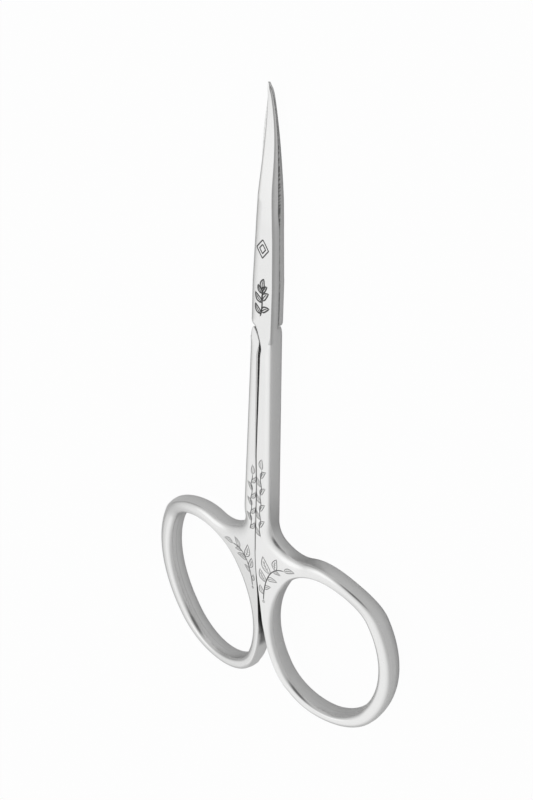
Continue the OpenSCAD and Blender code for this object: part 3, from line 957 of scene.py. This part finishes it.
class Marks:
    """Fine lines on a half's front face, each a closed ribbon that follows a path and tapers at its ends."""

    def __init__(self):
        self.shell, self.outline = Shell(), HalfOutline()

    def line(self, path, weight=1.0, taper=LINE_TAPER):
        """A ribbon of four-cornered section along a path, sunk into the face below and just proud of it."""
        f = finish()
        path = resample(path, LINE_STEP)
        run = runs(path)
        thin = np.clip(np.minimum(run, run[-1] - run) / taper, 0.2, 1)
        across = inward(path, closed=False) * (f.line_w * weight / 2 * thin)[:, None]
        left, right = path + across, path - across
        rows = []
        for side, rise in ((left, -LINE_SINK), (left, f.line_h), (right, f.line_h), (right, -LINE_SINK)):
            x, y = side.T
            rows.append(np.column_stack([side, outer_height(x, y, 1) - self.outline.face_drop(x, y) + rise]))
        rows = np.stack(rows + rows[:1], 1)
        self.shell.strip(rows, closed=False)
        for end in (rows[0, :4], rows[-1, :4]):
            self.shell.add(end, np.array([[0, 1, 2, 3]]) + self.shell.count)

    def leaf(self, base, heading, size, slim=0.44, veins=3, weight=1.0):
        """A pointed leaf: two bulging sides, a midrib and a few side veins. Heading is in degrees."""
        t = np.linspace(0, 1, 22)
        bulge = slim / 2 * np.sin(np.pi * t ** 0.8) * (1 - 0.25 * t)
        sway = 0.10 * np.sin(np.pi * t)
        turn = np.radians(heading)
        axes = np.array([[np.cos(turn), np.sin(turn)], [-np.sin(turn), np.cos(turn)]])
        base = np.array(base, float) * MM

        def place(x, y):
            return base + np.stack([x, y], -1) * size * MM @ axes

        self.line(place(t, sway + bulge), weight)
        self.line(place(t, sway - bulge), weight)
        self.line(place(t[:17], sway[:17]), 0.75 * weight)
        for k in range(veins):
            at = 0.22 + 0.5 * k / max(veins, 2)
            for way in (1, -1):
                u = np.linspace(0, 1, 5)
                top = np.interp(at + 0.16, t, sway + way * 0.72 * bulge)
                start = np.interp(at, t, sway)
                self.line(place(at + 0.16 * u, start + (top - start) * u), 0.5, 0.3 * MM)

    def bud(self, centre, radius):
        """A small round bud."""
        self.line(np.array(centre) * MM + circle(radius * MM, 20)[np.r_[0:20, 0]], 0.8, 0.01 * MM)

    def sprig(self, stem, leaves, weight=1.5, leaf_weight=1.0):
        """A stem with leaves, each given by its share of the way along, side, size and spread in degrees."""
        path = bezier(np.array(stem) * MM)
        self.line(path, weight)
        ahead = np.degrees(np.arctan2(*np.gradient(path, axis=0).T[::-1]))
        for share, side, size, spread in leaves:
            k = int(round(share * (len(path) - 1)))
            veins = 3 if size > 2.1 else 0
            self.leaf(path[k] / MM, ahead[k] + side * spread, size, veins=veins, weight=leaf_weight)


def vine(marks, x, low, high, pitch, size):
    """An upright wavy stem with a small leaf to either side in turn."""
    y = np.linspace(low, high, 90)
    wave = WAVE * np.cos(np.pi * (y - low) / pitch)
    marks.line(np.stack([x + wave, y], 1) * MM, 1.1)
    for k in range(int((high - low) / pitch)):
        at = low + pitch * (k + 0.15)
        way = 1 if k % 2 else -1
        marks.leaf((x + WAVE * np.cos(np.pi * (at - low) / pitch), at), 90 - way * 34, size, 0.38, 0)
    marks.leaf((x + wave[-1] / 2, high), 90, size, 0.46, 0)


def front_ornament():
    """A sprig on the lap, a lozenge on the blade, a vine on the shank and a spray at the bow's root, in mm
    from the pivot."""
    marks = Marks()
    marks.sprig([(-0.15, -5.2), (0.45, -3.7), (0.1, -1.9), (0.25, -0.7)], [
        (0.10, 1, 1.9, 50), (0.20, -1, 1.9, 46), (0.50, 1, 2.0, 44), (0.60, -1, 2.0, 40), (0.86, 1, 1.6, 34),
        (0.9, -1, 1.6, 34), (1.0, 1, 2.0, 0)], 2.3, 2.1)
    for scale in (1.0, 0.5):
        loop = np.array([(0, 1.5), (1.15, 0), (0, -1.5), (-1.15, 0), (0, 1.5)])
        marks.line((loop * scale + [0.05, 6.0]) * MM, 1.7, 0.05 * MM)
    vine(marks, 0.95, -43.8, -31.4, 1.5, 1.85)
    marks.sprig([(1.0, -56.2), (1.3, -52.5), (2.4, -48.6), (5.6, -48.3)], [
        (0.10, 1, 1.9, 26), (0.22, -1, 1.6, 44), (0.36, 1, 2.6, 40), (0.46, -1, 2.0, 62),
        (0.58, 1, 3.3, 54), (0.72, -1, 1.5, 50), (0.76, 1, 2.5, 42), (1.0, 1, 2.2, 8)], 1.5)
    marks.bud((1.0, -56.5), 0.18)
    return marks


def back_ornament():
    """A vine on the shank and a spray at the bow's root, each a little different from the front half's."""
    marks = Marks()
    vine(marks, 0.95, -43.2, -33.0, 1.4, 1.7)
    marks.sprig([(0.9, -54.4), (1.0, -51.0), (1.9, -47.6), (5.0, -47.9)], [
        (0.12, 1, 1.5, 22), (0.26, -1, 1.7, 44), (0.38, 1, 2.3, 34), (0.50, -1, 2.2, 58),
        (0.60, 1, 2.8, 50), (0.74, -1, 1.5, 46), (0.80, 1, 2.0, 38), (1.0, 1, 1.9, 6)], 1.5)
    marks.bud((0.9, -54.7), 0.18)
    return marks


def build_marks(name, marks, side):
    """Bends and lays the lines as the half that bears them."""
    points = bent(np.concatenate(marks.shell.points))
    points[:, 0] *= side
    return new_mesh(name, laid(points), marks.shell.faces)


# Shader maths

class Socket:
    """Wraps a shader socket, so that sums and products of values add their Math nodes."""

    def __init__(self, nodes, out):
        self.nodes, self.out = nodes, out

    def math(self, operation, a, b):
        """One Math node."""
        return self.nodes.add("ShaderNodeMath", {"operation": operation}, {0: a, 1: b})

    def __add__(self, other):
        return self.math("ADD", self, other)

    __radd__ = __add__

    def __mul__(self, other):
        return self.math("MULTIPLY", self, other)

    __rmul__ = __mul__

    def __sub__(self, other):
        return self.math("SUBTRACT", self, other)

    def __rsub__(self, other):
        return self.math("SUBTRACT", other, self)

    def clamp(self):
        """Held between 0 and 1."""
        return self.nodes.add("ShaderNodeClamp", {}, {0: self})

    def step(self, low, high):
        """Rises smoothly from 0 at low to 1 at high."""
        settings = {"interpolation_type": "SMOOTHSTEP"}
        return self.nodes.add("ShaderNodeMapRange", settings, {0: self, 1: low, 2: high, 3: 0.0, 4: 1.0})


class Nodes:
    """A material's or a world's node tree, emptied and ready for new nodes."""

    def __init__(self, owner):
        owner.use_nodes = True
        self.tree = owner.node_tree
        self.tree.nodes.clear()

    def add(self, kind, settings, inputs, out=0):
        """A node of that kind with its settings, its inputs set or linked, and one of its outputs."""
        node = self.tree.nodes.new(kind)
        for key, value in settings.items():
            setattr(node, key, value)
        for key, value in inputs.items():
            if isinstance(value, Socket):
                self.tree.links.new(value.out, node.inputs[key])
            elif value is not None:
                node.inputs[key].default_value = value
        return Socket(self, node.outputs[out])

    def noise(self, vector, scale, detail=3.0):
        """Cloudy noise of that scale and detail."""
        return self.add("ShaderNodeTexNoise", {}, {"Vector": vector, "Scale": scale, "Detail": detail})

    def vector(self, operation, a, b=None, out=0):
        """A Vector Math node. Its output 1 is a number."""
        return self.add("ShaderNodeVectorMath", {"operation": operation}, {0: a, 1: b}, out)

    def mix(self, factor, a, b):
        """A colour between a and b."""
        return self.add("ShaderNodeMix", {"data_type": "RGBA"}, {0: factor, 6: a, 7: b}, 2)

    def output(self, surface, kind="ShaderNodeOutputMaterial"):
        """Ends the tree in a surface."""
        node = self.tree.nodes.new(kind)
        self.tree.links.new(surface.out, node.inputs["Surface"])


WHITE, BLACK = (1, 1, 1, 1), (0, 0, 0, 1)
BUMP_DEPTH = 0.02 * MM


class Metal(Nodes):
    """A metal material with its patterns on Object coordinates."""

    def __init__(self, name):
        self.material = bpy.data.materials.new(name)
        super().__init__(self.material)
        self.place = self.add("ShaderNodeTexCoord", {}, {}, 3)

    def from_point(self, point, scale):
        """The place as seen from a point given about the pivot axis, stretched by the scale."""
        centre = tuple(laid(np.array([point], float))[0])
        return self.vector("MULTIPLY", self.vector("SUBTRACT", self.place, centre), scale)

    def finished(self, base, rough, height, strength, depth=BUMP_DEPTH, metallic=1.0):
        """The material, with its colour, roughness and bump joined to the shader."""
        normal = self.add("ShaderNodeBump", {}, {"Strength": strength, "Distance": depth, "Height": height})
        self.output(self.add("ShaderNodeBsdfPrincipled", {}, {
            "Base Color": base, "Metallic": metallic, "Roughness": rough, "Normal": normal}))
        return self.material


# Scales of the patterns, in waves per metre
STREAKS, STREAKS_ALONG, RINGS = 9000.0, 260.0, 260.0
CLOUDS, PORES, HAIRS, HAIR_PATCHES = 420.0, 9000.0, (700.0, 5200.0, 700.0), 900.0
TURNS, SPECKS, MOTTLE = 26000.0, 5200.0, 7000.0


def satin_steel(name, bow_side):
    """Satin steel: fine streaks along the shank and blade, and round the bow, that vary the roughness,
    the tone and a shallow bump, with soft cloudy patches and a few hair scratches."""
    f, s, oval = finish(), sizes(), Oval()
    metal = Metal(name)
    place = metal.place
    centre = bent(np.array([[*oval.centre, s.stock_t / 2]]))[0]
    centre[0] *= bow_side
    squeezed = metal.from_point(centre, (1 / oval.a, 1 / oval.b, 0))
    ring = metal.vector("LENGTH", squeezed, out=1)
    heading = metal.vector("MULTIPLY", metal.vector("NORMALIZE", squeezed), (5.0, 5.0, 0))
    around = metal.vector("ADD", heading, metal.add("ShaderNodeCombineXYZ", {}, {2: ring * RINGS}))
    lengthwise = metal.vector("MULTIPLY", place, (STREAKS, STREAKS_ALONG, STREAKS))
    y = metal.add("ShaderNodeSeparateXYZ", {}, {0: place}, 1)
    root_y = laid(np.array([[0, -s.bend_y, 0]]))[0][1]
    on_bow = y.step(root_y + 1.5 * MM, root_y - 4 * MM)
    streaks = metal.noise(lengthwise, 1.0, 4.0) * (1 - on_bow) + metal.noise(around, 1.0, 4.0) * on_bow
    clouds = metal.noise(place, CLOUDS)
    pores = metal.noise(place, PORES, 2.0)
    hairs = metal.noise(metal.vector("MULTIPLY", place, HAIRS), 1.0, 1.0)
    scratches = hairs.step(0.74, 0.80) * metal.noise(place, HAIR_PATCHES, 1.0).step(0.5, 0.62)
    # Painted shade: the mesh's attribute darkens the tone by up to 0.72 in the gap under the honed edge,
    # along that edge's rim, beside the seam between the bows and along the hole wall's ridge.
    honed = metal.add("ShaderNodeAttribute", {"attribute_name": "honed"}, {}, 2)
    tone = (clouds * 0.05 + streaks * 0.07 * f.grain - scratches * 0.05 + 0.94) * (1 - 0.72 * honed)
    rough = (streaks - 0.5) * 0.16 * f.grain + (clouds - 0.5) * 0.10 + scratches * 0.10 + f.roughness
    height = streaks * 0.7 * f.grain + pores * 0.25 + clouds * 0.5 - scratches * 0.4
    return metal.finished(metal.mix(tone.clamp(), BLACK, (*f.steel, 1)), rough.clamp(), height, 0.10)


def screw_steel():
    """Turned steel: rings about the screw's axis, which leans with the pair, in tone, roughness and bump."""
    metal = Metal("screw_steel")
    ring = metal.vector("LENGTH", metal.from_point((0, 0, 0), (1, 1, 0)), out=1)
    turns = metal.noise(metal.add("ShaderNodeCombineXYZ", {}, {0: ring * TURNS}), 1.0, 2.0)
    specks = metal.noise(metal.place, SPECKS, 2.0)
    tone = turns * 0.12 + specks * 0.08 + 0.84
    rough = (turns - 0.5) * 0.2 + specks * 0.1 + 0.18
    base = metal.mix(tone.clamp(), BLACK, (*finish().screw, 1))
    return metal.finished(base, rough.clamp(), turns + specks * 0.4, 0.25)


def marked_steel():
    """The dark oxide of a marked line: matt, slightly mottled."""
    ink = finish().ink
    metal = Metal("marked_steel")
    mottle = metal.noise(metal.place, MOTTLE)
    base = metal.mix(mottle.step(0.3, 0.8), (*ink, 1), (*[2.2 * c for c in ink], 1))
    return metal.finished(base, mottle * 0.2 + 0.45, mottle, 0.3, BUMP_DEPTH / 2, 0.35)


def place_piece(piece, body, slot, material, *nodes):
    """Gives a piece its material and its body, and hides the parts for the nodes that it stands for. The slot
    is not used.
    """
    piece.data.materials.append(material)
    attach(piece, body)
    if nodes:
        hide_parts(*nodes)


class SCISSORS_OT_front_half(bpy.types.Operator):
    """Build the front half: blade, lap, shank and right bow"""

    bl_idname = "scissors.front_half"
    bl_label = "Front half"

    def execute(self, context):
        piece = build_half("front_half_steel", 1)
        place_piece(piece, "front", "satin_steel", satin_steel("satin_steel_right", 1), "front_half")
        return {"FINISHED"}


class SCISSORS_OT_back_half(bpy.types.Operator):
    """Build the back half: blade, lap, shank and left bow"""

    bl_idname = "scissors.back_half"
    bl_label = "Back half"

    def execute(self, context):
        piece = build_half("back_half_steel", -1)
        place_piece(piece, "back", "satin_steel", satin_steel("satin_steel_left", -1), "back_half")
        return {"FINISHED"}


class SCISSORS_OT_pivot_screw(bpy.types.Operator):
    """Build the slotted pivot screw"""

    bl_idname = "scissors.pivot_screw"
    bl_label = "Pivot screw"

    def execute(self, context):
        piece = build_screw("pivot_screw_steel")
        place_piece(piece, "front", "screw_steel", screw_steel(), "pivot_screw")
        return {"FINISHED"}


class SCISSORS_OT_ornament(bpy.types.Operator):
    """Mark the plain leaf ornament on both halves"""

    bl_idname = "scissors.ornament"
    bl_label = "Ornament"

    def execute(self, context):
        material = marked_steel()
        front = build_marks("front_half_marks", front_ornament(), 1)
        place_piece(front, "front", "satin_steel", material)
        back = build_marks("back_half_marks", back_ornament(), -1)
        place_piece(back, "back", "satin_steel", material)
        return {"FINISHED"}


class SCISSORS_OT_stage(bpy.types.Operator):
    """Set the floor, the light and the camera"""

    bl_idname = "scissors.stage"
    bl_label = "Stage"

    def execute(self, context):
        scene = context.scene
        set_floor()
        set_world(scene)
        set_lamp()
        set_camera(scene)
        scene.view_settings.view_transform = "Standard"
        return {"FINISHED"}


def view_axes():
    """The directions towards the camera, to the picture's right and up it, in the row frame."""
    t = studio()
    flat = np.cos(t.elevation)
    toward = np.array([np.sin(t.azimuth) * flat, np.sin(t.elevation), np.cos(t.azimuth) * flat])
    level = unit(np.cross([0, 1.0, 0], toward))
    upright = np.cross(toward, level)
    right = np.cos(t.roll) * level + np.sin(t.roll) * upright
    up = -np.sin(t.roll) * level + np.cos(t.roll) * upright
    return [laid_direction(*v) for v in (toward, right, up)]


def stand(piece, right, up, toward, spot):
    """Stands a camera or lamp at a spot, with its back to the direction toward."""
    matrix = np.eye(4)
    matrix[:3, :3] = np.stack([right, up, toward], 1)
    matrix[:3, 3] = spot
    piece.matrix_world = Matrix(matrix.tolist())


def set_camera(scene):
    """The camera, at the photograph's angle and distance."""
    t = studio()
    toward, right, up = view_axes()
    aim = laid(np.array([[0, -t.aim_y, sizes().stock_t / 2]]))[0]
    aim = aim + t.aim_right * right + t.aim_up * up
    data = bpy.data.cameras.new("camera")
    data.sensor_fit = "HORIZONTAL"
    data.lens = data.sensor_width * t.distance / t.view_w
    data.clip_start = 0.01
    scene.camera = link("camera", data)
    stand(scene.camera, right, up, toward, aim + t.distance * toward)


FLOOR_HALF = 3.0
SEEN_WHITE, MIRRORED_WHITE, THROUGH_WHITE = 0.97, 0.02, 0.95  # share of plain white for each kind of ray


def set_floor():
    """A wide pale floor, white to the camera but for a soft shadow."""
    a = FLOOR_HALF
    mesh = bpy.data.meshes.new("floor")
    mesh.from_pydata([(-a, -a, 0), (a, -a, 0), (a, a, 0), (-a, a, 0)], [], [(0, 1, 2, 3)])
    material = bpy.data.materials.new("floor")
    nodes = Nodes(material)
    seen = nodes.add("ShaderNodeLightPath", {}, {})
    rays = seen.out.node.outputs
    mirrored, through = Socket(nodes, rays["Is Glossy Ray"]), Socket(nodes, rays["Is Transmission Ray"])
    share = (seen * SEEN_WHITE + mirrored * MIRRORED_WHITE + through * THROUGH_WHITE).clamp()
    matt = nodes.add("ShaderNodeBsdfDiffuse", {}, {"Color": (*studio().floor, 1)})
    glow = nodes.add("ShaderNodeEmission", {}, {"Color": WHITE, "Strength": 1.0})
    nodes.output(nodes.add("ShaderNodeMixShader", {}, {0: share, 1: matt, 2: glow}))
    mesh.materials.append(material)
    link("floor", mesh)


# The surround's level, and how much each patch adds or takes
SURROUND, KEY, LOW_RIGHT, LOW_LEFT, LENS = 0.54, 0.39, 0.05, 0.24, 0.78


def set_world(scene):
    """A soft surround: bright overhead and behind, greyer low on the right and left, and a small dark patch
    on the side of the camera, each a smooth step of the angle to its direction."""
    toward = view_axes()[0]
    scene.world = bpy.data.worlds.new("surround")
    nodes = Nodes(scene.world)
    ray = nodes.add("ShaderNodeTexCoord", {}, {}, 0)

    def facing(direction, low, high):
        """Rises from 0 to 1 as the angle to the direction falls from low to high degrees."""
        cosine = nodes.vector("DOT_PRODUCT", ray, tuple(unit(direction)), out=1)
        return cosine.step(np.cos(np.radians(low)), np.cos(np.radians(high)))

    front = laid_direction(0, 0, 1)
    height = nodes.vector("DOT_PRODUCT", ray, (0.0, 0.0, 1.0), out=1)
    key = facing(2 * np.dot(front, toward) * front - toward, 80, 20)
    low_right = facing((1, -0.35, 0.12), 50, 12)
    low_left = facing((-1, 0.1, 0.05), 62, 18)
    level = SURROUND + key * height.step(0.0, 0.5) * KEY - low_right * LOW_RIGHT - low_left * LOW_LEFT
    level = level * (1 - facing(toward, 34, 10) * LENS)
    background = nodes.add("ShaderNodeBackground", {}, {"Color": WHITE, "Strength": level})
    nodes.output(background, "ShaderNodeOutputWorld")


LAMP_SPOT, LAMP_SIZE = (-0.35, -0.1, 0.75), 0.5


def set_lamp():
    """One large soft lamp, high on the left, for the shadow."""
    data = bpy.data.lights.new("soft_lamp", "AREA")
    data.shape, data.size, data.energy = "DISK", LAMP_SIZE, studio().lamp_power
    toward = unit(LAMP_SPOT)
    side = unit(np.cross([0, 1.0, 0], toward))
    stand(link("soft_lamp", data), side, np.cross(toward, side), toward, LAMP_SPOT)


class SCISSORS_PT_panel(bpy.types.Panel):
    """The pieces of the scissors, and their sizes and finish"""

    bl_idname = "SCISSORS_PT_panel"
    bl_label = "Cuticle scissors"
    bl_space_type = "VIEW_3D"
    bl_region_type = "UI"
    bl_category = "Scissors"

    def draw(self, context):
        """A button for each operator and a box for each group."""
        layout = self.layout
        for operator in OPERATORS:
            layout.operator(operator.bl_idname)
        for group in (sizes(), finish(), studio()):
            box = layout.box()
            for name in group.bl_rna.properties.keys():
                if name not in ("rna_type", "name"):
                    box.prop(group, name)


OPERATORS = (
    SCISSORS_OT_front_half, SCISSORS_OT_back_half, SCISSORS_OT_pivot_screw, SCISSORS_OT_ornament,
    SCISSORS_OT_stage)
GROUPS = {"scissor_sizes": ScissorSizes, "scissor_finish": ScissorFinish, "scissor_studio": ScissorStudio}
CLASSES = (*GROUPS.values(), *OPERATORS, SCISSORS_PT_panel)


def register():
    """Registers the classes and hangs the three groups on the scene."""
    for item in CLASSES:
        bpy.utils.register_class(item)
    for name, group in GROUPS.items():
        setattr(bpy.types.Scene, name, bpy.props.PointerProperty(type=group))


def unregister():
    """Takes back what register did."""
    for name in GROUPS:
        delattr(bpy.types.Scene, name)
    for item in reversed(CLASSES):
        bpy.utils.unregister_class(item)


def main():
    """Builds everything in order."""
    register()
    bpy.ops.scissors.front_half()
    bpy.ops.scissors.back_half()
    bpy.ops.scissors.pivot_screw()
    bpy.ops.scissors.ornament()
    bpy.ops.scissors.stage()


if __name__ == "__main__":
    main()
